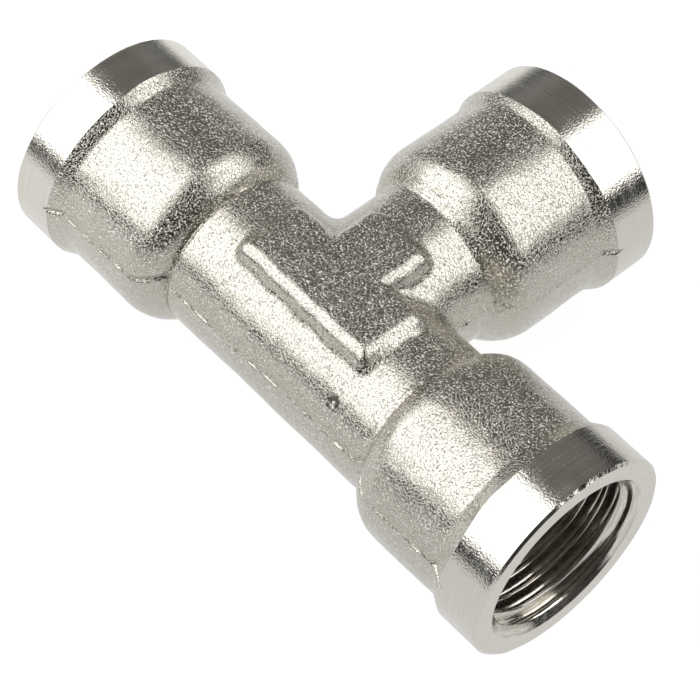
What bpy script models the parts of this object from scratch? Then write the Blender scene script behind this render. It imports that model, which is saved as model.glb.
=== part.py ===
"""Equal pipe tee, G 1/2: one nickel-plated brass forging with three internally threaded ports.

The piece is made here the way it is made in the works: a forging blank (run, branch and hub pads) is
drilled through, tapped and countersunk at its three ends.  +X lies along the run, +Y along the branch and
+Z up out of the flat hub pad.  The origin is under the middle of the outline, on the surface that the
three forged beads rest on.
"""

import math

import bmesh
import bpy
from mathutils import Matrix, Vector

MM = 0.001

# Driving dimensions of the forging
CENTRE_TO_END = 37.0 * MM       # from the crossing of the axes to each port's end face
COLLAR_RADIUS = 13.0 * MM       # turned band at each port's end
BEAD_RADIUS = 13.25 * MM        # forged bead that the band is turned out of
SOCKET_RADIUS = 12.1 * MM       # wall around the thread
RUN_TUBE_RADIUS = 9.7 * MM      # plain tube between the run's sockets
BRANCH_TUBE_RADIUS = 9.5 * MM   # the branch's tube is a little slimmer where it meets the run
BEAD_SLOPE_TOP = 29.85 * MM     # distance from the centre where the bead starts to fall to the socket
BEAD_SLOPE_FOOT = 28.15 * MM
SHOULDER_TOP = 16.0 * MM        # conical shoulder, socket side
SHOULDER_FOOT = 14.6 * MM       # conical shoulder, tube side
FACE_CHAMFER = 0.35 * MM

# Length of the turned band at each port: the lathe took a different length off each end
BAND_LENGTH = {"run_left": 5.0 * MM, "run_right": 6.1 * MM, "branch": 5.4 * MM}

# Hub pads, one on each die half: a T of constant half width
PAD_HALF_WIDTH = 4.3 * MM
PAD_HALF_LENGTH = 9.9 * MM
PAD_BRANCH_REACH = 10.2 * MM
PAD_HEIGHT = 10.5 * MM          # above the axes
PAD_CORNER_RADIUS = 1.0 * MM
PAD_EDGE = 0.3 * MM             # bevel around the pad's top
PAD_ROOT = 7.4 * MM             # where the pad's drafted wall ends, inside the tube
PAD_DRAFT = 0.30                # outward run of the wall for each unit of depth

# G 1/2 internal thread, right-handed
THREAD_PITCH = 25.4 / 14 * MM
THREAD_MAJOR_RADIUS = 20.955 / 2 * MM
THREAD_MINOR_RADIUS = 18.631 / 2 * MM
THREAD_LENGTH = 13.5 * MM       # full thread from the end face
THREAD_RUNOUT = 1.2 * THREAD_PITCH
DRILL_DEPTH = 17.6 * MM         # tapping drill from the end face
DRILL_POINT_HALF_ANGLE = math.radians(59)
RUN_PASSAGE_RADIUS = 7.75 * MM
BRANCH_PASSAGE_RADIUS = 7.4 * MM
COUNTERSINK_RADIUS = 10.65 * MM

# Facets
BLANK_SEGMENTS = 44
THREAD_SEGMENTS = 24
PASSAGE_SEGMENTS = 36
CORNER_SEGMENTS = 2

# The axes cross here, so that the outline stands over the origin and rests at z = 0
AXES_CROSSING = Vector((0, (BEAD_RADIUS - CENTRE_TO_END) / 2, BEAD_RADIUS))


def rounded_outline(corners):
    """Polyline through corners, each given as (along, out, rounding radius)."""
    points = [Vector(corners[0][:2])]
    for before, corner, after in zip(corners, corners[1:], corners[2:]):
        here = Vector(corner[:2])
        radius = corner[2]
        if radius == 0:
            points.append(here)
            continue
        back = (Vector(before[:2]) - here).normalized()
        ahead = (Vector(after[:2]) - here).normalized()
        half = back.angle(ahead) / 2
        centre = here + (back + ahead).normalized() * (radius / math.sin(half))
        start = here + back * (radius / math.tan(half)) - centre
        turn = start.angle_signed(here + ahead * (radius / math.tan(half)) - centre)
        for step in range(CORNER_SEGMENTS + 1):
            spoke = start.copy()
            spoke.rotate(Matrix.Rotation(-turn * step / CORNER_SEGMENTS, 2))
            points.append(centre + spoke)
    points.append(Vector(corners[-1][:2]))
    return points


def port_outline(band_length, tube_radius):
    """Half outline of one arm as (distance from centre, radius), from the tube out to the end face."""
    forged = rounded_outline([
        (0, tube_radius, 0),
        (SHOULDER_FOOT, tube_radius, 0.6 * MM),
        (SHOULDER_TOP, SOCKET_RADIUS, 4.0 * MM),
        (BEAD_SLOPE_FOOT, SOCKET_RADIUS, 1.2 * MM),
        (BEAD_SLOPE_TOP, BEAD_RADIUS, 4.0 * MM),
        (CENTRE_TO_END, BEAD_RADIUS, 0),
    ])
    band_start = CENTRE_TO_END - band_length
    kept = [point for point in forged if point.x < band_start]
    last, following = kept[-1], forged[len(kept)]
    edge = last.lerp(following, (band_start - last.x) / (following.x - last.x))
    turned = [
        edge,
        Vector((band_start, COLLAR_RADIUS)),
        Vector((CENTRE_TO_END - FACE_CHAMFER, COLLAR_RADIUS)),
        Vector((CENTRE_TO_END, COLLAR_RADIUS - FACE_CHAMFER)),
    ]
    return kept[1:] + turned


def new_object(name, mesh_builder, placement):
    """Object made from a filled bmesh, with its faces pointing out, placed at the axes' crossing."""
    mesh = bpy.data.meshes.new(name)
    builder = bmesh.new()
    mesh_builder(builder)
    bmesh.ops.recalc_face_normals(builder, faces=builder.faces)
    if builder.calc_volume(signed=True) < 0:
        bmesh.ops.reverse_faces(builder, faces=builder.faces)
    builder.to_mesh(mesh)
    builder.free()
    mesh.shade_smooth()
    mesh.set_sharp_from_angle(angle=math.radians(30))
    made = bpy.data.objects.new(name, mesh)
    made.matrix_world = Matrix.Translation(AXES_CROSSING) @ placement
    bpy.context.scene.collection.objects.link(made)
    return made


def add_tool(body, name, mesh_builder, placement, operation):
    """Join or cut the body with a helper solid that stays out of the finished part."""
    tool = new_object(name, mesh_builder, placement)
    tool.hide_render = True
    tool.display_type = "WIRE"
    modifier = body.modifiers.new(name, "BOOLEAN")
    modifier.operation = operation
    modifier.solver = "EXACT"
    modifier.object = tool


def bridge(builder, ring_a, ring_b):
    for index in range(len(ring_a)):
        following = (index + 1) % len(ring_a)
        builder.faces.new((ring_a[index], ring_a[following], ring_b[following], ring_b[index]))


def turned_solid(outline, segments, phase=0.0):
    """Solid of revolution about local Z from (height, radius) points, flat at both ends."""
    def build(builder):
        rings = []
        for height, radius in outline:
            ring = []
            for segment in range(segments):
                angle = 2 * math.pi * (segment + phase) / segments
                ring.append(builder.verts.new((radius * math.cos(angle), radius * math.sin(angle), height)))
            rings.append(ring)
        for ring_a, ring_b in zip(rings, rings[1:]):
            bridge(builder, ring_a, ring_b)
        builder.faces.new(rings[0])
        builder.faces.new(rings[-1])
    return build


def pad_corners(grow):
    """Corners of the T-shaped pad seen from above, moved outward by grow."""
    width = PAD_HALF_WIDTH + grow
    length = PAD_HALF_LENGTH + grow
    reach = PAD_BRANCH_REACH + grow
    return [
        (0, -width, 0), (length, -width, PAD_CORNER_RADIUS), (length, width, PAD_CORNER_RADIUS),
        (width, width, PAD_CORNER_RADIUS / 2), (width, reach, PAD_CORNER_RADIUS),
        (-width, reach, PAD_CORNER_RADIUS), (-width, width, PAD_CORNER_RADIUS / 2),
        (-length, width, PAD_CORNER_RADIUS), (-length, -width, PAD_CORNER_RADIUS), (0, -width, 0),
    ]


def hub_pad(builder):
    wall_top = PAD_HEIGHT - PAD_EDGE
    levels = [
        (PAD_ROOT, PAD_DRAFT * (wall_top - PAD_ROOT)),
        (wall_top, 0),
        (PAD_HEIGHT, -PAD_EDGE),
    ]
    rings = []
    for height, grow in levels:
        outline = rounded_outline(pad_corners(grow))[:-1]
        rings.append([builder.verts.new((point.x, point.y, height)) for point in outline])
    for ring_a, ring_b in zip(rings, rings[1:]):
        bridge(builder, ring_a, ring_b)
    builder.faces.new(rings[0])
    builder.faces.new(rings[-1])


def thread_radius(depth, is_root):
    """Radius of the tap at a helical row: roots shrink to the drill's radius along the runout."""
    if not is_root:
        return THREAD_MINOR_RADIUS
    share = min(1, max(0, (THREAD_LENGTH + THREAD_RUNOUT - depth) / THREAD_RUNOUT))
    return THREAD_MINOR_RADIUS + share * (THREAD_MAJOR_RADIUS - THREAD_MINOR_RADIUS)


def tap_tool(builder):
    """Tapping drill and tap in one, with local +Z pointing into the port and z = 0 at its end face."""
    # Each turn has a crest land between two flanks that meet at the root
    rows_in_turn = [(0, False), (1 / 4, False), (5 / 8, True)]
    outer_end = -2.4 * THREAD_PITCH
    turns = math.floor((DRILL_DEPTH - outer_end) / THREAD_PITCH) - 1
    columns = []
    for segment in range(THREAD_SEGMENTS):
        share = segment / THREAD_SEGMENTS
        angle = 2 * math.pi * share
        column = []
        for turn in range(turns):
            for fraction, is_root in rows_in_turn:
                depth = outer_end + (turn + fraction + share) * THREAD_PITCH
                radius = thread_radius(depth, is_root)
                column.append(builder.verts.new((radius * math.cos(angle), radius * math.sin(angle), depth)))
        columns.append(column)
    rows = turns * len(rows_in_turn)
    for segment in range(THREAD_SEGMENTS - 1):
        here, following = columns[segment], columns[segment + 1]
        for row in range(rows - 1):
            builder.faces.new((here[row], following[row], following[row + 1], here[row + 1]))
    # The last column meets the first one turn further along
    step = len(rows_in_turn)
    here, following = columns[-1], columns[0]
    for row in range(rows - 1 - step):
        builder.faces.new((here[row], following[row + step], following[row + step + 1], here[row + 1]))

    def plain_ring(depth, radius):
        spokes = [2 * math.pi * segment / THREAD_SEGMENTS for segment in range(THREAD_SEGMENTS)]
        return [builder.verts.new((radius * math.cos(a), radius * math.sin(a), depth)) for a in spokes]

    outer = plain_ring(outer_end - THREAD_PITCH, THREAD_MINOR_RADIUS)
    inner = plain_ring(DRILL_DEPTH, THREAD_MINOR_RADIUS)
    tip_radius = 0.7 * BRANCH_PASSAGE_RADIUS
    tip_depth = DRILL_DEPTH + (THREAD_MINOR_RADIUS - tip_radius) / math.tan(DRILL_POINT_HALF_ANGLE)
    tip = plain_ring(tip_depth, tip_radius)
    for segment in range(THREAD_SEGMENTS - 1):
        here, following = columns[segment], columns[segment + 1]
        builder.faces.new((outer[segment], outer[segment + 1], following[0], here[0]))
        builder.faces.new((here[-1], following[-1], inner[segment + 1], inner[segment]))
    # One turn of rows closes onto the plain rings where the helix starts and ends
    first, last = columns[0], columns[-1]
    for row in range(step):
        builder.faces.new((last[0], first[row], first[row + 1]))
        builder.faces.new((first[-1], last[-1 - row], last[-2 - row]))
    builder.faces.new((outer[-1], outer[0], first[0], last[0]))
    builder.faces.new((last[-1], first[-1], inner[0], inner[-1]))
    bridge(builder, inner, tip)
    builder.faces.new(outer)
    builder.faces.new(tip)


def nickel():
    material = bpy.data.materials.new("nickel_plated_brass")
    material.use_nodes = True
    shader = material.node_tree.nodes["Principled BSDF"]
    shader.inputs["Base Color"].default_value = (0.60, 0.575, 0.52, 1)
    shader.inputs["Metallic"].default_value = 1.0
    shader.inputs["Roughness"].default_value = 0.36
    return material


def build_tee():
    along_run = Matrix.Rotation(math.radians(90), 4, "Y")
    along_branch = Matrix.Rotation(math.radians(-90), 4, "X")

    left = [(-point.x, point.y) for point in port_outline(BAND_LENGTH["run_left"], RUN_TUBE_RADIUS)]
    right = [(point.x, point.y) for point in port_outline(BAND_LENGTH["run_right"], RUN_TUBE_RADIUS)]
    body = new_object("tee_body", turned_solid(left[::-1] + right, BLANK_SEGMENTS), along_run)
    body.data.materials.append(nickel())

    upper_pad = Matrix.Identity(4)
    lower_pad = Matrix.Rotation(math.pi, 4, "Y")
    add_tool(body, "upper_hub_pad", hub_pad, upper_pad, "UNION")
    add_tool(body, "lower_hub_pad", hub_pad, lower_pad, "UNION")
    branch = [(0, BRANCH_TUBE_RADIUS)]
    branch += [(point.x, point.y) for point in port_outline(BAND_LENGTH["branch"], BRANCH_TUBE_RADIUS)]
    add_tool(body, "branch_blank", turned_solid(branch, BLANK_SEGMENTS, 0.5), along_branch, "UNION")

    beyond = CENTRE_TO_END + 2 * MM
    run_drill = turned_solid(
        [(-beyond, RUN_PASSAGE_RADIUS), (beyond, RUN_PASSAGE_RADIUS)], PASSAGE_SEGMENTS)
    branch_drill = turned_solid(
        [(0, BRANCH_PASSAGE_RADIUS), (beyond, BRANCH_PASSAGE_RADIUS)], PASSAGE_SEGMENTS, 0.5)
    add_tool(body, "run_passage", run_drill, along_run, "DIFFERENCE")
    add_tool(body, "branch_passage", branch_drill, along_branch, "DIFFERENCE")

    lead = 1.0 * MM
    countersink = turned_solid([
        (-lead, COUNTERSINK_RADIUS + lead),
        (COUNTERSINK_RADIUS - 0.9 * THREAD_MINOR_RADIUS, 0.9 * THREAD_MINOR_RADIUS),
    ], BLANK_SEGMENTS)
    inward = {
        "run_left": (Vector((-CENTRE_TO_END, 0, 0)), Matrix.Rotation(math.radians(90), 4, "Y")),
        "run_right": (Vector((CENTRE_TO_END, 0, 0)), Matrix.Rotation(math.radians(-90), 4, "Y")),
        "branch": (Vector((0, CENTRE_TO_END, 0)), Matrix.Rotation(math.radians(90), 4, "X")),
    }
    for port, (end, turn) in inward.items():
        placement = Matrix.Translation(end) @ turn
        add_tool(body, port + "_tap", tap_tool, placement, "DIFFERENCE")
        add_tool(body, port + "_countersink", countersink, placement, "DIFFERENCE")


for leftover in list(bpy.data.objects):
    bpy.data.objects.remove(leftover)
build_tee()
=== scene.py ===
import math

import bmesh
import bpy
import numpy as np
from mathutils import Matrix, Quaternion, Vector


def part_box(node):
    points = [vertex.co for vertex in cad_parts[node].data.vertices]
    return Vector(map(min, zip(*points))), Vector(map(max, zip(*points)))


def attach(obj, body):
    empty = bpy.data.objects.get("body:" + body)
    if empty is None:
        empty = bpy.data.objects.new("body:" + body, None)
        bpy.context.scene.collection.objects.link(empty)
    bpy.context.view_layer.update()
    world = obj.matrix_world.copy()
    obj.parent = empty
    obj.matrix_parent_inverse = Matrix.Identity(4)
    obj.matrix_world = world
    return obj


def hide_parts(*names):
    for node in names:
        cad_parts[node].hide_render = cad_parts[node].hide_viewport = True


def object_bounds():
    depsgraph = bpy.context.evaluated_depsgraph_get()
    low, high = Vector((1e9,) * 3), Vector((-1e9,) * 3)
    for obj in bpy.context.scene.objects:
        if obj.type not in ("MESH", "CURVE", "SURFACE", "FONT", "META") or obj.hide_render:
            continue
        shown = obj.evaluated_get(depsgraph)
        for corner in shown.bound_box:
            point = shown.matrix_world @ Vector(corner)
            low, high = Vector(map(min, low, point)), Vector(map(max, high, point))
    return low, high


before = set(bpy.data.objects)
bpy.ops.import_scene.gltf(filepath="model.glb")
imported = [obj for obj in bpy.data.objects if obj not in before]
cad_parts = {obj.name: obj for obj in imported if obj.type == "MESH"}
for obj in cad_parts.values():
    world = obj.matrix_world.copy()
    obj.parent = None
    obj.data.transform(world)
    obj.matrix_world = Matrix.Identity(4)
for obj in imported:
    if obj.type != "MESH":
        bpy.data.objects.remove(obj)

cad_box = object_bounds()
MM = 0.001
BEAD_RADIUS = 13.25         # from the run's axis to the box's near side, where the bead touches it
low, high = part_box("tee_body")
CROSSING = Vector(((low.x + high.x) / 2, low.y + BEAD_RADIUS * MM, (low.z + high.z) / 2))
PORT_END = (high.x - low.x) / 2 / MM

# Forged outline of each port: the tube's radius, where the shoulder starts and ends, the socket's
# radius, and where the bead starts to flare and how steeply
LEFT = dict(tube=9.65, foot=15.75, top=16.4, socket=12.1, bead_foot=29.85, bead_rise=0.494)
RIGHT = dict(tube=9.65, foot=15.4, top=16.1, socket=12.12, bead_foot=29.3, bead_rise=0.55)
BRANCH = dict(tube=9.5, foot=15.7, top=16.5, socket=12.1, bead_foot=29.45, bead_rise=0.447)
BEAD_LENGTH = 3.8           # of the flare; the lathe cuts its band out of it
BLANK_END = 38.6            # the forging is a little longer than the finished port
FOOT_ROUNDING = 0.9
TOP_ROUNDING = 4.8
BEAD_ROUNDING = 0.8
FLARE_ROUNDING = 0.3
NEARLY_STRAIGHT = 1.56      # half the angle, in radians, at a corner too flat to round

# The forging isn't quite true to its turned axes: (y, z) of the run's middle, how far it leans to
# its right end, x of the branch, and how far the branch rises over its first stretch
RUN_OFF = (0.03, 0.01)
RUN_LEAN = (0.04, -0.06)
RUN_LEAN_LENGTH = 12
BRANCH_OFF = -0.03
BRANCH_LIFT = 0.28
BRANCH_LIFT_LENGTH = 16

HUB_BLEND = 1.5             # reach of the fillet where the tubes meet
PAD_BLEND = 0.6             # and of the one round the pads' foot
PAD_HEIGHT = 10.5
PAD_HALF_LENGTH = 9.8
PAD_HALF_WIDTH = 4.3
PAD_REACH = 10.1            # of the T's stem, along the branch
PAD_CORNER = 0.9
PAD_DRAFT = 0.30
PAD_EDGE = 1.45
# Its sides wander like a worn die's: height, rate along the side and phase of each wave
PAD_WANDER_X = ((0.06, 1.5, 0.4), (0.02, 3.7, 1.0))
PAD_WANDER_Y = ((0.07, 1.3, 1.1), (0.02, 3.3, 2.2))

PARTING_HEIGHT = 1.75       # of the dies' parting line, over the axes
PARTING_RIDGE = 0.20        # it stands proud where the wall is straight
PARTING_FOLD = 0.34         # and sinks in where the wall turns
PARTING_WIDTH = 0.17
BRANCH_RIDGE_SHARE = 0.4
BRANCH_FOLD_SHARE = 0.25
SHOULDER_END = 18.2         # up to here the fold lies SHOULDER_DROP higher
SHOULDER_DROP = 1.1
BEAD_START = 29.0           # and on the bead's slope up to BEAD_END it lies BEAD_DROP higher
BEAD_END = 31.3
BEAD_DROP = 0.45
WAVES = ((0.030, 9.0, 1, 26), (0.009, 2.8, 2, 26), (0.004, 1.3, 3, 40))  # of the skin

PIT_AT = np.array([9.3, -8.1, 5.5])     # a scale pit in the run's side
PIT_DEPTH = 0.4
PIT_RADIUS = 0.42

# Turned bands: radius of each, and how the cutting tool's outline runs
BANDS = {"left": 12.99, "right": 13.11, "branch": 12.95}
BAND_STOP = 27.5            # its last ring, inside the blank's flare, so each band ends on the flare
BAND_RINGS = 12
TURNING_INNER = 2.0
TURNING_OUTER = 17.0
TURNING_PAST = 3.0          # past the port's end
TURNING_COLUMNS = 360
EDGE_CHAMFER = 0.30
BURR = 0.028                # fine burr on the chamfer's inner edge
BURR_LENGTH = 0.75
EDGE_WAVE = 0.03            # slow unevenness of the same edge
EDGE_WAVE_LENGTH = 4.5

PITCH = 25.4 / 14
MAJOR = 20.955 / 2
MINOR = 18.631 / 2
THREAD_LENGTH = 13.5
THREAD_RUNOUT = 2.2
THREAD_LEAD_IN = 1.6
THREAD_START = -1.9         # depth where the helical rows begin, outside the port
THREAD_TURNS = 10
# One turn of thread: distance along it in mm, and 0 on the crest to 1 in the root
THREAD_STEPS = ((0.0, 0.12), (0.09, 0.0), (0.21, 0.0), (0.30, 0.12),
                (0.62, 0.6), (0.93, 1.0), (1.18, 1.0), (1.49, 0.6))
BORE_COLUMNS = 96
BORE_BACK = -4.5            # depth of the cutting tool's outer end
BORE_WIDEST = 12
PLAIN_START = 16.5          # depth where the helical rows have ended
DRILL_DEPTH = 17.6
DRILL_SLOPE = math.tan(math.radians(59))
COUNTERSINK = 10.65
COUNTERSINK_SLOPE = 1.1
RUN_PASSAGE = 7.75
BRANCH_PASSAGE = 7.4

CELL = 0.37                 # of the grid that the forged skin is sampled on
FINE_CELL = 0.14            # its height near the parting line
TABLE_STEP = 0.08           # of a lathe outline's table of distances
TABLE_MARGIN = 2
TABLE_RADIUS = 20
SLIVER = 0.004              # corners closer than this are merged after the cuts
SHARP_COS = math.cos(math.radians(28))
SKIN, BAND_RUN, BAND_BRANCH, FACE_RUN, FACE_BRANCH, BORE_RUN, BORE_BRANCH = range(7)


# Outlines and distances

def rounded(corners, steps=7):
    """A line through (along, radius, rounding) corners, each turned with its own rounding."""
    points = [np.array(corners[0][:2], float)]
    for before, corner, after in zip(corners, corners[1:], corners[2:]):
        here, rounding = np.array(corner[:2], float), corner[2]
        back, on = np.array(before[:2]) - here, np.array(after[:2]) - here
        back, on = back / np.linalg.norm(back), on / np.linalg.norm(on)
        half = math.acos(np.clip(back @ on, -1, 1)) / 2
        if half > NEARLY_STRAIGHT:
            points.append(here)
            continue
        middle = (back + on) / np.linalg.norm(back + on)
        centre = here + middle * rounding / math.sin(half)
        start = here + back * rounding / math.tan(half) - centre
        end = here + on * rounding / math.tan(half) - centre
        first = math.atan2(start[1], start[0])
        turn = (math.atan2(end[1], end[0]) - first + math.pi) % (2 * math.pi) - math.pi
        for k in range(steps + 1):
            angle = first + turn * k / steps
            points.append(centre + rounding * np.array([math.cos(angle), math.sin(angle)]))
    points.append(np.array(corners[-1][:2], float))
    return np.array(points)


def port_line(p):
    flare = p["socket"] + BEAD_LENGTH * p["bead_rise"]
    return rounded([
        (0, p["tube"], 0), (p["foot"], p["tube"], FOOT_ROUNDING),
        (p["top"], p["socket"], TOP_ROUNDING), (p["bead_foot"], p["socket"], BEAD_ROUNDING),
        (p["bead_foot"] + BEAD_LENGTH, flare, FLARE_ROUNDING), (BLANK_END + 2, flare, 0),
    ])


class Lathe:
    """Signed distance to a turned outline, looked up from a table over (along, radius)."""

    def __init__(self, line):
        self.first = line[0, 0] - TABLE_MARGIN
        along = np.arange(self.first, line[-1, 0] + TABLE_MARGIN, TABLE_STEP)
        radius = np.arange(0, TABLE_RADIUS, TABLE_STEP)
        a, r = np.meshgrid(along, radius, indexing="ij")
        nearest = np.full(a.shape, np.inf)
        for (a0, r0), (a1, r1) in zip(line, line[1:]):
            da, dr = a1 - a0, r1 - r0
            share = np.clip(((a - a0) * da + (r - r0) * dr) / max(da * da + dr * dr, 1e-12), 0, 1)
            nearest = np.minimum(nearest, (a - a0 - share * da) ** 2 + (r - r0 - share * dr) ** 2)
        inside = r < np.interp(a, line[:, 0], line[:, 1])
        self.table = np.sqrt(nearest) * np.where(inside, -1, 1)

    def __call__(self, along, radius):
        a = np.clip((along - self.first) / TABLE_STEP, 0, self.table.shape[0] - 1.001)
        r = np.clip(radius / TABLE_STEP, 0, self.table.shape[1] - 1.001)
        i, j = a.astype(int), r.astype(int)
        u, v = a - i, r - j
        t = self.table
        return ((t[i, j] * (1 - v) + t[i, j + 1] * v) * (1 - u)
                + (t[i + 1, j] * (1 - v) + t[i + 1, j + 1] * v) * u)


left_line = port_line(LEFT) * (-1, 1)
run_lathe = Lathe(np.vstack([left_line[::-1], port_line(RIGHT)[1:]]))
branch_lathe = Lathe(port_line(BRANCH))


def smooth_min(a, b, reach):
    near = np.maximum(reach - np.abs(a - b), 0) / reach
    return np.minimum(a, b) - near * near * reach / 4


def box_distance(x, y, half_x, half_y, corner):
    dx, dy = np.abs(x) - half_x + corner, np.abs(y) - half_y + corner
    outside = np.hypot(np.maximum(dx, 0), np.maximum(dy, 0))
    return outside + np.minimum(np.maximum(dx, dy), 0) - corner


def wander(value, along, waves):
    for height, rate, phase in waves:
        value = value + height * np.sin(rate * along + phase)
    return value


def pad_distance(x, y, z):
    """The T-shaped flat on the hub, with drafted sides. z is the height over the axes."""
    x, y = wander(x, y, PAD_WANDER_X), wander(y, x, PAD_WANDER_Y)
    bar = box_distance(x, y, PAD_HALF_LENGTH, PAD_HALF_WIDTH, PAD_CORNER)
    middle = (PAD_REACH - PAD_HALF_WIDTH) / 2
    stem = box_distance(x, y - middle, PAD_HALF_WIDTH, (PAD_REACH + PAD_HALF_WIDTH) / 2, PAD_CORNER)
    side = np.minimum(bar, stem) - (PAD_HEIGHT - z) * PAD_DRAFT
    side = side / math.hypot(1, PAD_DRAFT)
    return -smooth_min(-side, PAD_HEIGHT - z, PAD_EDGE)


def forging(p):
    """Signed distance from the forged blank's skin, negative inside."""
    x, y, z = p[:, 0], p[:, 1], p[:, 2]
    side = np.clip(x / RUN_LEAN_LENGTH, -1, 1)
    run = run_lathe(x, np.hypot(y - RUN_OFF[0] - RUN_LEAN[0] * side, z - RUN_OFF[1] - RUN_LEAN[1] * side))
    run = np.maximum(run, np.abs(x) - BLANK_END)
    lift = BRANCH_LIFT * np.clip(y / BRANCH_LIFT_LENGTH, 0, 1)
    branch = branch_lathe(y, np.hypot(x - BRANCH_OFF, z - lift))
    branch = np.maximum(np.maximum(branch, y - BLANK_END), -y)
    body = smooth_min(run, branch, HUB_BLEND)
    return smooth_min(body, pad_distance(x, y, np.abs(z)), PAD_BLEND)


def gradient(f, p, step=0.02):
    slopes = []
    for axis in range(3):
        shift = np.zeros(3)
        shift[axis] = step
        slopes.append((f(p + shift) - f(p - shift)) / (2 * step))
    return np.stack(slopes, 1)


def ripples(p, wavelength, seed, waves=26):
    """Smooth noise of about unit strength: plane waves in seeded directions."""
    draw = np.random.default_rng(seed)
    ways = draw.normal(size=(waves, 3))
    ways /= np.linalg.norm(ways, axis=1)[:, None]
    ways *= (2 * math.pi / (wavelength * draw.uniform(0.75, 1.35, waves)))[:, None]
    return np.cos(p @ ways.T + draw.uniform(0, 2 * math.pi, waves)).sum(1) * math.sqrt(2 / waves)


# Meshes

def surface_net(f, lines):
    """Closed quads on f = 0: one corner in each grid cell that the surface crosses."""
    xs, ys, zs = lines
    counts = np.array([len(line) for line in lines])
    values = np.empty(counts, np.float32)
    gy, gz = np.meshgrid(ys, zs, indexing="ij")
    flat = np.stack([np.zeros(gy.size), gy.ravel(), gz.ravel()], 1)
    for i, x in enumerate(xs):
        flat[:, 0] = x
        values[i] = f(flat).reshape(gy.shape)
    edges = []
    for axis in range(3):
        near = np.take(values, range(counts[axis] - 1), axis)
        far = np.take(values, range(1, counts[axis]), axis)
        found = np.argwhere((near < 0) != (far < 0))
        here, there = near[tuple(found.T)], far[tuple(found.T)]
        point = found.astype(float)
        point[:, axis] += here / (here - there)
        u, v = (axis + 1) % 3, (axis + 2) % 3
        cells = np.repeat(found[:, None, :], 4, 1)
        cells[:, 1:3, u] -= 1
        cells[:, 2:4, v] -= 1
        edges.append((cells, point, here < 0))
    cells = np.concatenate([e[0] for e in edges])
    points = np.concatenate([e[1] for e in edges])
    outward = np.concatenate([e[2] for e in edges])
    ids = np.ravel_multi_index(cells.reshape(-1, 3).T, counts)
    _, corner = np.unique(ids, return_inverse=True)
    corner = corner.reshape(-1)
    share = np.bincount(corner)
    spread = np.repeat(points, 4, 0)
    vertices = np.stack([np.bincount(corner, spread[:, k]) / share for k in range(3)], 1)
    quads = corner.reshape(-1, 4)
    quads[~outward] = quads[~outward][:, ::-1]
    placed = [np.interp(vertices[:, k], np.arange(counts[k]), lines[k]) for k in range(3)]
    return np.stack(placed, 1), quads


def mesh_object(name, vertices, faces, slots):
    mesh = bpy.data.meshes.new(name)
    mesh.from_pydata(np.asarray(vertices).tolist(), [], [list(map(int, f)) for f in faces])
    mesh.validate()
    for material in materials:
        mesh.materials.append(material)
    mesh.polygons.foreach_set("material_index", np.asarray(slots, np.int32))
    thing = bpy.data.objects.new(name, mesh)
    bpy.context.scene.collection.objects.link(thing)
    return thing


def parting(vertices, normal):
    """Height of the parting line's ridge on straight walls, less its fold where the wall turns."""
    along = np.maximum(np.abs(vertices[:, 0]), vertices[:, 1])
    steep = np.clip(1.6 - 2 * np.abs(normal[:, 2]), 0, 1)
    turning = np.clip(2.5 * np.minimum(np.abs(normal[:, 0]), np.abs(normal[:, 1])), 0, 1)
    over = vertices[:, 2] - PARTING_HEIGHT - 0.08 * ripples(vertices, 12.0, 4)
    uneven = np.clip(0.9 + 0.45 * ripples(vertices, 1.5, 5), 0.5, 1.3)
    on_branch = vertices[:, 1] > 12
    ridge = PARTING_RIDGE * uneven * np.where(on_branch, BRANCH_RIDGE_SHARE, 1.0)
    fold = PARTING_FOLD * np.where(on_branch & (along < 28), BRANCH_FOLD_SHARE, 1.0)
    drop = (SHOULDER_DROP * np.clip((SHOULDER_END - along) / 2.4, 0, 1)
            + BEAD_DROP * np.clip((BEAD_END - along) / 1.6, 0, 1) * (along > BEAD_START))
    return steep * (
        ridge * (1 - turning) * np.exp(-(over / PARTING_WIDTH) ** 2)
        - fold * turning * np.exp(-((over + 0.1 - drop) / (1.8 * PARTING_WIDTH)) ** 2))


def forged_blank():
    """The blank's skin, with its waves, the parting line and the scale pit."""
    fine = np.arange(PARTING_HEIGHT - 0.8, PARTING_HEIGHT + 0.9, FINE_CELL)
    heights = np.concatenate([np.arange(-14.5, fine[0] - CELL / 2, CELL), fine,
                              np.arange(fine[-1] + CELL, 14.6, CELL)])
    vertices, quads = surface_net(
        forging, [np.arange(-39.5, 39.6, CELL), np.arange(-14.5, 39.6, CELL), heights])
    for _ in range(3):
        slope = gradient(forging, vertices)
        off = forging(vertices) / np.maximum((slope ** 2).sum(1), 0.2)
        vertices = vertices - slope * np.clip(off, -CELL, CELL)[:, None]
    normal = gradient(forging, vertices, 0.12)
    normal /= np.linalg.norm(normal, axis=1)[:, None]
    skin = sum(height * ripples(vertices, length, seed, waves) for height, length, seed, waves in WAVES)
    skin += parting(vertices, normal)
    pit = np.linalg.norm(vertices - PIT_AT, axis=1)
    skin -= PIT_DEPTH * np.exp(-(pit / PIT_RADIUS) ** 2)
    return mesh_object("pipe_tee", vertices + normal * skin[:, None], quads, np.zeros(len(quads)))


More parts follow.
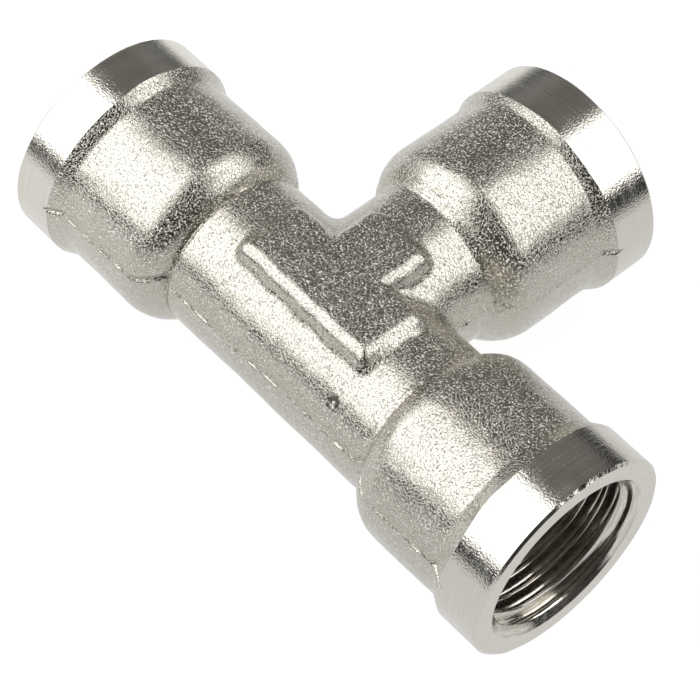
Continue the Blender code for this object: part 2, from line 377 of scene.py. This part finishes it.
def spun_tool(name, axis, way, along, radii, slots):
    """A closed solid about a port's axis: ring k lies at along[k] with radii[k] round it, a pole
    closes each end, and slots[k] is the material of the faces from ring k to the next."""
    rings, columns = radii.shape
    angle = np.arange(columns) * 2 * math.pi / columns
    points = np.zeros((rings, columns, 3))
    points[..., axis] = way * along[:, None]
    points[..., (axis + 1) % 3] = radii * np.cos(angle)
    points[..., (axis + 2) % 3] = radii * np.sin(angle)
    poles = np.zeros((2, 3))
    poles[:, axis] = way * along[0], way * along[-1]
    faces, kinds = [], []
    first_pole, last_ring = rings * columns, (rings - 1) * columns
    for j in range(columns):
        k = (j + 1) % columns
        faces.append((first_pole, k, j))
        faces.append((first_pole + 1, last_ring + j, last_ring + k))
        kinds += [slots[0], slots[-1]]
        for i in range(rings - 1):
            a, b = i * columns, (i + 1) * columns
            faces.append((a + j, a + k, b + k, b + j))
            kinds.append(slots[i])
    if way < 0:
        faces = [f[::-1] for f in faces]
    return mesh_object(name, np.concatenate([points.reshape(-1, 3), poles]), faces, kinds)


def burr(port, axis, radius):
    """How far the chamfer's inner edge is off a circle, roughest near the top of the port."""
    angle = np.arange(TURNING_COLUMNS) * 2 * math.pi / TURNING_COLUMNS
    edge = np.stack([np.zeros(TURNING_COLUMNS), np.cos(angle), np.sin(angle)], 1) * radius
    up = math.radians(90 if axis == 0 else 0)
    from_top = np.angle(np.exp(1j * (angle - up)))
    rough = 0.25 + np.exp(-((from_top + 0.25) / 0.75) ** 2)
    off = (BURR * rough * ripples(edge, BURR_LENGTH, 11 + len(port))
           + EDGE_WAVE * ripples(edge, EDGE_WAVE_LENGTH, 21 + len(port)))
    return np.clip(off, -0.2, 0.15)


def turning_tool(port):
    """Everything that the lathe takes off a port: outside the band, its edge and the end face."""
    axis, way = {"left": (0, -1), "right": (0, 1), "branch": (1, 1)}[port]
    band, face = (BAND_BRANCH, FACE_BRANCH) if port == "branch" else (BAND_RUN, FACE_RUN)
    radius = BANDS[port]
    even = np.ones(TURNING_COLUMNS)
    last = BAND_RINGS - 1
    passes = [(PORT_END - EDGE_CHAMFER) * (1 - k / last) + BAND_STOP * k / last
              for k in range(BAND_RINGS)]
    along = np.array([PORT_END, PORT_END, *passes, BAND_STOP, PORT_END + TURNING_PAST])
    rings = [TURNING_INNER * even, (radius - EDGE_CHAMFER) * even + burr(port, axis, radius)]
    rings += [radius * even] * BAND_RINGS + [TURNING_OUTER * even] * 2
    slots = [face] + [band] * (len(along) - 2) + [face]
    return spun_tool("turning_" + port, axis, way, along, np.array(rings), slots)


def bore_tool(port, passage, slot, reach):
    """What is drilled and tapped out of a port: mouth, right-hand thread, drilled socket and the
    passage, which goes on for reach past the crossing. Rows follow the helix, so the crests'
    edges are crisp; at the seam each row meets the row one turn further out."""
    columns, per_turn = BORE_COLUMNS, len(THREAD_STEPS)
    turned_by = np.arange(columns) / columns
    start = [PITCH * n + step for n in range(THREAD_TURNS) for step, _ in THREAD_STEPS]
    start.append(PITCH * THREAD_TURNS)
    share = [height for _, height in THREAD_STEPS] * THREAD_TURNS + [THREAD_STEPS[0][1]]
    depth = THREAD_START + np.array(start)[:, None] - PITCH * turned_by[None, :]
    fade = np.clip((THREAD_LENGTH - depth) / THREAD_RUNOUT, 0, 1) * np.clip(depth / THREAD_LEAD_IN, 0, 1)
    radius = MINOR + (MAJOR - MINOR) * np.array(share)[:, None] * fade
    radius = np.minimum(np.maximum(radius, COUNTERSINK - depth * COUNTERSINK_SLOPE), BORE_WIDEST)
    floor_depth = DRILL_DEPTH + (MINOR - passage) / DRILL_SLOPE
    inner = [(PLAIN_START, MINOR), (DRILL_DEPTH - 0.1, MINOR), (DRILL_DEPTH, MINOR - 0.02),
             (floor_depth - 0.05, passage + 0.06), (floor_depth + 0.05, passage),
             (floor_depth + 0.2, passage), (PORT_END - 6, passage), (PORT_END + reach, passage)]
    plain = np.ones((1, columns))
    depth = np.concatenate([BORE_BACK * plain, depth] + [d * plain for d, _ in inner])
    radius = np.concatenate([BORE_WIDEST * plain, radius] + [r * plain for _, r in inner])
    angle = 2 * math.pi * turned_by
    out, side, up = PORT_END - depth, radius * np.cos(angle), radius * np.sin(angle)
    points = np.stack({"left": (-out, -side, up), "right": (out, side, up),
                       "branch": (-side, out, up)}[port], 2)
    seam, first, last = columns - 1, 1, len(start)      # last column, first and last helical row
    faces = []
    for i in range(len(depth) - 1):
        a, b = i * columns, (i + 1) * columns
        faces += [(a + j, b + j, b + j + 1, a + j + 1) for j in range(seam)]
        if i > last:
            faces.append((a + seam, b + seam, b, a))
        elif first + per_turn <= i < last:
            faces.append((a + seam, b + seam, b - per_turn * columns, a - per_turn * columns))
    bottom = last * columns
    faces.append((seam, *((first + k) * columns + seam for k in range(per_turn + 1)), columns, 0))
    faces.append((bottom + seam, bottom + columns + seam, bottom + columns,
                  *((last - k) * columns for k in range(per_turn + 1))))
    faces.append(tuple(range(columns)))
    faces.append(tuple(range((len(depth) - 1) * columns, len(depth) * columns))[::-1])
    return mesh_object(port + "_bore", points.reshape(-1, 3), faces, [slot] * len(faces))


def cut(thing, tools):
    """Takes the tools out of the thing's mesh. The cut faces have the tools' materials."""
    for tool in tools:
        step = thing.modifiers.new(tool.name, "BOOLEAN")
        step.operation, step.object, step.solver = "DIFFERENCE", tool, "MANIFOLD"
        step.material_mode = "TRANSFER"
    bpy.context.view_layer.update()
    ready = thing.evaluated_get(bpy.context.evaluated_depsgraph_get())
    mesh = bpy.data.meshes.new_from_object(ready)
    thing.modifiers.clear()
    thing.data = mesh
    for tool in tools:
        bpy.data.objects.remove(tool)


def remove_slivers(mesh):
    """Merges the corners that the cuts left a few micrometres apart, and drops flat faces."""
    solid = bmesh.new()
    solid.from_mesh(mesh)
    bmesh.ops.dissolve_degenerate(solid, edges=solid.edges, dist=SLIVER)
    bmesh.ops.triangulate(solid, faces=[f for f in solid.faces if len(f.verts) > 4])
    bmesh.ops.dissolve_degenerate(solid, edges=solid.edges, dist=SLIVER)
    solid.to_mesh(mesh)
    solid.free()


def mark_sharp(mesh):
    """Crisp edges where two machined faces meet, and where a machined face meets the skin."""
    loops, faces = len(mesh.loops), len(mesh.polygons)
    edge, normals = np.empty(loops, np.int32), np.empty(faces * 3, np.float32)
    total, kind = np.empty(faces, np.int32), np.empty(faces, np.int32)
    mesh.loops.foreach_get("edge_index", edge)
    mesh.polygons.foreach_get("normal", normals)
    mesh.polygons.foreach_get("loop_total", total)
    mesh.polygons.foreach_get("material_index", kind)
    normals = normals.reshape(-1, 3)
    owner = np.repeat(np.arange(faces), total)
    order = np.argsort(edge, kind="stable")     # the mesh is closed, so each edge is there twice
    first, second = owner[order[0::2]], owner[order[1::2]]
    turn = (normals[first] * normals[second]).sum(1)
    machined_edge = (kind[first] != SKIN) & (kind[second] != SKIN) & (turn < SHARP_COS)
    machined_edge &= (kind[first] != kind[second]) | (kind[first] < BORE_RUN)
    border = (kind[first] == SKIN) != (kind[second] == SKIN)
    sharp = np.zeros(len(mesh.edges), bool)
    sharp[edge[order[0::2]]] = machined_edge | border
    mesh.attributes.new("sharp_edge", "BOOLEAN", "EDGE").data.foreach_set("value", sharp)
    mesh.polygons.foreach_set("use_smooth", np.ones(faces, bool))


# Materials. Noise scales are per metre, and bump distances in metres.

class Paint:
    """A material and short ways to add nodes to it."""

    def __init__(self, name):
        self.material = bpy.data.materials.new(name)
        self.material.use_nodes = True
        self.nodes, self.links = self.material.node_tree.nodes, self.material.node_tree.links
        self.shader = self.nodes["Principled BSDF"]
        self.shader.inputs["Metallic"].default_value = 1.0

    def feed(self, socket, value):
        if isinstance(value, bpy.types.NodeSocket):
            self.links.new(value, socket)
        else:
            socket.default_value = value

    def add(self, kind, values=None, **settings):
        node = self.nodes.new(kind)
        for name, value in settings.items():
            setattr(node, name, value)
        for name, value in (values or {}).items():
            self.feed(node.inputs[name], value)
        return node

    def place(self):
        return self.add("ShaderNodeTexCoord").outputs["Object"]

    def noise(self, where, scale, detail=2.0, roughness=0.5):
        return self.add("ShaderNodeTexNoise", {
            "Vector": where, "Scale": scale, "Detail": detail, "Roughness": roughness,
        }).outputs["Fac"]

    def vector(self, operation, *values, result="Vector"):
        values = dict(enumerate(values))
        return self.add("ShaderNodeVectorMath", values, operation=operation).outputs[result]

    def math(self, operation, *values):
        return self.add("ShaderNodeMath", dict(enumerate(values)), operation=operation).outputs[0]

    def spread(self, value, low_in, high_in, low_out, high_out):
        return self.add("ShaderNodeMapRange", {
            "Value": value, "From Min": low_in, "From Max": high_in,
            "To Min": low_out, "To Max": high_out,
        }).outputs["Result"]

    def sum(self, a, b, share_a=1.0, share_b=1.0):
        return self.math("MULTIPLY_ADD", b, share_b, self.math("MULTIPLY", a, share_a))

    def mix(self, factor, a, b):
        return self.add("ShaderNodeMix", {0: factor, 6: a, 7: b}, data_type="RGBA").outputs[2]

    def bump(self, height, distance):
        values = {"Height": height, "Distance": distance, "Strength": 1.0}
        return self.add("ShaderNodeBump", values).outputs["Normal"]

    def set(self, **sockets):
        for name, value in sockets.items():
            self.feed(self.shader.inputs[name.replace("_", " ")], value)


def blasted_skin():
    """Plated over a blasted forging: fine grain, sparse bright specks, creases and yellower patches.
    Its colour is painted shade in the grain's hollows and creases and a painted highlight on the specks,
    and it is almost black in and round the scale pit."""
    p = Paint("blasted_nickel")
    where = p.place()
    grain = p.noise(where, 5200, 2.0, 0.6)
    specks = p.spread(p.noise(where, 4400, 1.0), 0.57, 0.72, 0.0, 1.0)
    creases = p.add("ShaderNodeTexVoronoi", {"Vector": where, "Scale": 2600, "Randomness": 1.0},
                    feature="DISTANCE_TO_EDGE").outputs["Distance"]
    creases = p.spread(creases, 0.0, 0.08, 0.0, 1.0)
    height = p.sum(p.sum(grain, specks, 0.34, 0.85), creases, 1.0, 0.12)
    patches = p.noise(where, 160, 3.0)
    # Painted shade and highlight: the colour is darker where the grain's height is low, in its hollows
    # and creases, and lighter on its raised specks
    painted_grain_shading = p.spread(height, 0.18, 0.50, 0.0, 1.0)
    colour = p.mix(painted_grain_shading, (0.44, 0.42, 0.36, 1), (0.75, 0.73, 0.665, 1))
    colour = p.mix(p.spread(patches, 0.35, 0.75, 0.0, 0.45), colour, (0.60, 0.58, 0.50, 1))
    # Almost black in and round the scale pit, with a ragged edge
    away = p.vector("DISTANCE", where, list(CROSSING + Vector(PIT_AT) * MM), result="Value")
    away = p.sum(away, p.noise(where, 1500, 2.0), 1.0, 0.0022)
    colour = p.mix(p.spread(away, 0.0018, 0.0021, 0.9, 0.0), colour, (0.12, 0.105, 0.085, 1))
    p.set(Base_Color=colour, Roughness=p.spread(patches, 0.3, 0.7, 0.07, 0.13),
          Normal=p.bump(height, 0.00009))
    return p.material


def turned(name, axis, radial, roughness):
    """Turned metal: fine rings round a port's axis, along a band or across an end face, under
    plating with a slight orange peel."""
    p = Paint(name)
    where = p.place()
    if radial:
        centre = [0.0 if k == axis else CROSSING[k] for k in range(3)]
        flat = [0.0 if k == axis else 1.0 for k in range(3)]
        from_axis = p.vector("MULTIPLY", p.vector("SUBTRACT", where, centre), flat)
        ring = p.math("MULTIPLY", p.vector("LENGTH", from_axis, result="Value"), 5000.0)
        across = p.add("ShaderNodeCombineXYZ", {"X": ring}).outputs["Vector"]
        spot = p.vector("ADD", across, p.vector("MULTIPLY", where, [0.0, 140.0, 140.0]))
    else:
        spot = p.vector("MULTIPLY", where, [3300.0 if k == axis else 70.0 for k in range(3)])
    rings = p.noise(spot, 1.0, 3.0, 0.7)
    blotch = p.noise(where, 500, 2.0)
    peel = p.noise(where, 4200, 2.0)
    colour = p.mix(p.spread(rings, 0.3, 0.7, 0.0, 1.0), (0.63, 0.61, 0.55, 1), (0.70, 0.68, 0.62, 1))
    rough = p.spread(p.sum(rings, blotch, 0.6, 0.4), 0.3, 0.7, roughness * 0.4, roughness * 1.7)
    p.set(Base_Color=colour, Roughness=rough, Normal=p.bump(p.sum(rings, peel, 0.3, 1.0), 0.00003))
    return p.material


def tapped(name, axis):
    """Cut thread and passage: darker, with fine tool lines round the port's axis, and chatter."""
    p = Paint(name)
    where = p.place()
    stretch = [2600.0 if k == axis else 160.0 for k in range(3)]
    lines = p.noise(p.vector("MULTIPLY", where, stretch), 1.0, 3.0, 0.7)
    chatter = p.noise(where, 1100, 3.0, 0.6)
    colour = p.mix(p.spread(lines, 0.35, 0.65, 0.0, 1.0), (0.46, 0.43, 0.37, 1), (0.74, 0.72, 0.66, 1))
    p.set(Base_Color=colour, Roughness=p.spread(chatter, 0.3, 0.7, 0.12, 0.24),
          Normal=p.bump(p.sum(lines, chatter, 1.0, 0.5), 0.00003))
    return p.material


materials = (blasted_skin(), turned("turned_run", 0, False, 0.17),
             turned("turned_branch", 1, False, 0.17), turned("faced_run", 0, True, 0.24),
             turned("faced_branch", 1, True, 0.24), tapped("tapped_run", 0), tapped("tapped_branch", 1))

# The tee: forged, turned, drilled and tapped, then scaled to metres and put in its place
tee = forged_blank()
cut(tee, [turning_tool(port) for port in BANDS] + [
    bore_tool("right", RUN_PASSAGE, BORE_RUN, 3),
    bore_tool("left", RUN_PASSAGE - 0.02, BORE_RUN, 1),     # smaller, so the two walls don't coincide
    bore_tool("branch", BRANCH_PASSAGE, BORE_BRANCH, 0),
])
remove_slivers(tee.data)
tee.data.transform(Matrix.Translation(CROSSING) @ Matrix.Scale(MM, 4))
mark_sharp(tee.data)

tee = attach(tee, "root")
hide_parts("tee_body")


# Stage: a pale floor that the metal doesn't reflect. Its reflections hold only a small white
# table top and a dark wall. Lengths from here on are in metres, unless a comment says otherwise.
FLOOR_RADIUS = 3.0
TABLE_TOP_RADIUS = 0.25
WALL_RADIUS = 0.6
WALL_FROM, WALL_TO = -0.08, 0.13
ROUND_CORNERS = 96


def pale_material(name, albedo, glow):
    material = bpy.data.materials.new(name)
    material.use_nodes = True
    shader = material.node_tree.nodes["Principled BSDF"]
    shader.inputs["Base Color"].default_value = (albedo, albedo, albedo, 1)
    shader.inputs["Roughness"].default_value = 0.9
    shader.inputs["Specular IOR Level"].default_value = 0.0
    shader.inputs["Emission Color"].default_value = (1, 1, 1, 1)
    shader.inputs["Emission Strength"].default_value = glow
    return material


def brighter_to_the_left(material, left, right):
    """The table's glow, rising towards the big softbox."""
    nodes, links = material.node_tree.nodes, material.node_tree.links
    where = nodes.new("ShaderNodeTexCoord")
    parts = nodes.new("ShaderNodeSeparateXYZ")
    ramp = nodes.new("ShaderNodeMapRange")
    links.new(where.outputs["Object"], parts.inputs[0])
    links.new(parts.outputs["X"], ramp.inputs["Value"])
    for name, value in (("From Min", -0.07), ("From Max", -0.01), ("To Min", left), ("To Max", right)):
        ramp.inputs[name].default_value = value
    links.new(ramp.outputs["Result"], nodes["Principled BSDF"].inputs["Emission Strength"])
    return material


def staged(name, vertices, faces, material):
    mesh = bpy.data.meshes.new(name)
    mesh.from_pydata(vertices, [], faces)
    mesh.materials.append(material)
    thing = bpy.data.objects.new(name, mesh)
    thing.location.z = cad_box[0].z
    bpy.context.scene.collection.objects.link(thing)
    return thing


def circle(radius, height):
    turn = [2 * math.pi * k / ROUND_CORNERS for k in range(ROUND_CORNERS)]
    return [(radius * math.cos(a), radius * math.sin(a), height) for a in turn]


def disc(name, radius, material):
    return staged(name, circle(radius, 0), [tuple(range(ROUND_CORNERS))], material)


def upright_ring(name, radius, bottom, top, material):
    after = [(k + 1) % ROUND_CORNERS for k in range(ROUND_CORNERS)]
    faces = [(k, k + ROUND_CORNERS, n + ROUND_CORNERS, n) for k, n in enumerate(after)]
    return staged(name, circle(radius, bottom) + circle(radius, top), faces, material)


floor = disc("floor", FLOOR_RADIUS, pale_material("pale_floor", 0.16, 0.92))
floor.visible_glossy = False
table = disc("table_top", TABLE_TOP_RADIUS,
             brighter_to_the_left(pale_material("pale_table", 0.24, 0), 0.80, 0.60))
wall = upright_ring("dark_wall", WALL_RADIUS, WALL_FROM, WALL_TO, pale_material("dark_cloth", 0.02, 0.0))
for thing in (table, wall):
    thing.visible_camera = thing.visible_diffuse = thing.visible_shadow = False

WARM = (1.0, 0.95, 0.92)
world = bpy.data.worlds.new("studio")
bpy.context.scene.world = world
world.use_nodes = True
world.node_tree.nodes["Background"].inputs["Color"].default_value = (*WARM, 1)
world.node_tree.nodes["Background"].inputs["Strength"].default_value = 0.07


def softbox(name, first, second, third, radiance, tint=(1, 1, 1)):
    """A rectangular area light from three corners, in millimetres from the crossing, which shines
    on the side where the crossing is."""
    a, b, c = (Vector(v) * MM + CROSSING for v in (first, second, third))
    across, down = b - a, c - a
    centre = a + across / 2 + down / 2
    facing = across.cross(down)
    if facing.dot(CROSSING - centre) < 0:
        across, facing = -across, -facing
    light = bpy.data.lights.new(name, "AREA")
    light.shape = "RECTANGLE"
    light.size, light.size_y = across.length, down.length
    light.energy = radiance * math.pi * across.length * down.length
    light.color = tint
    lamp = bpy.data.objects.new(name, light)
    x, z = across.normalized(), -facing.normalized()
    turn = Matrix((x, z.cross(x), z)).transposed().to_4x4()
    lamp.matrix_world = Matrix.Translation(centre) @ turn
    lamp.visible_camera = False
    bpy.context.scene.collection.objects.link(lamp)


# A big softbox over the left of the run, one over the branch, and dim cards for the grey zones
softbox("softbox_run", (-420, -12, 330), (0, -12, 370), (-420, -360, 70), 2.5)
softbox("side_card", (-430, 0, 60), (-430, -380, 60), (-430, 0, 330), 1.2)
softbox("back_card", (-277, -130, 516), (203, 230, 516), (-527, 202, 204), 0.105, WARM)
softbox("grey_card", (-460, 60, -25), (-140, 440, -25), (-460, 60, 200), 0.14)
softbox("grey_card_low", (-460, 60, -25), (-140, 440, -25), (-460, 60, 110), 0.26)
softbox("softbox_branch", (11, 60, 354), (11, 420, 354), (317, 60, 130), 2.3)

CAMERA_AT = (146.57, -148.02, 284.96)       # in millimetres from the crossing
AZIMUTH, ELEVATION, ROLL = math.radians(42.725), math.radians(53.951), math.radians(5.83)
camera = bpy.data.cameras.new("photo_view")
camera.lens = 168.94
camera.sensor_width = 36
camera.shift_x = -0.0628
camera.clip_start, camera.clip_end = 0.01, 10
view = bpy.data.objects.new("photo_view", camera)
forward = Vector((-math.sin(AZIMUTH) * math.cos(ELEVATION), math.cos(AZIMUTH) * math.cos(ELEVATION),
                  -math.sin(ELEVATION)))
view.rotation_mode = "QUATERNION"
view.rotation_quaternion = forward.to_track_quat("-Z", "Y") @ Quaternion((0, 0, 1), ROLL)
view.location = CROSSING + Vector(CAMERA_AT) * MM
bpy.context.scene.collection.objects.link(view)
bpy.context.scene.camera = view
bpy.context.scene.view_settings.view_transform = "Standard"
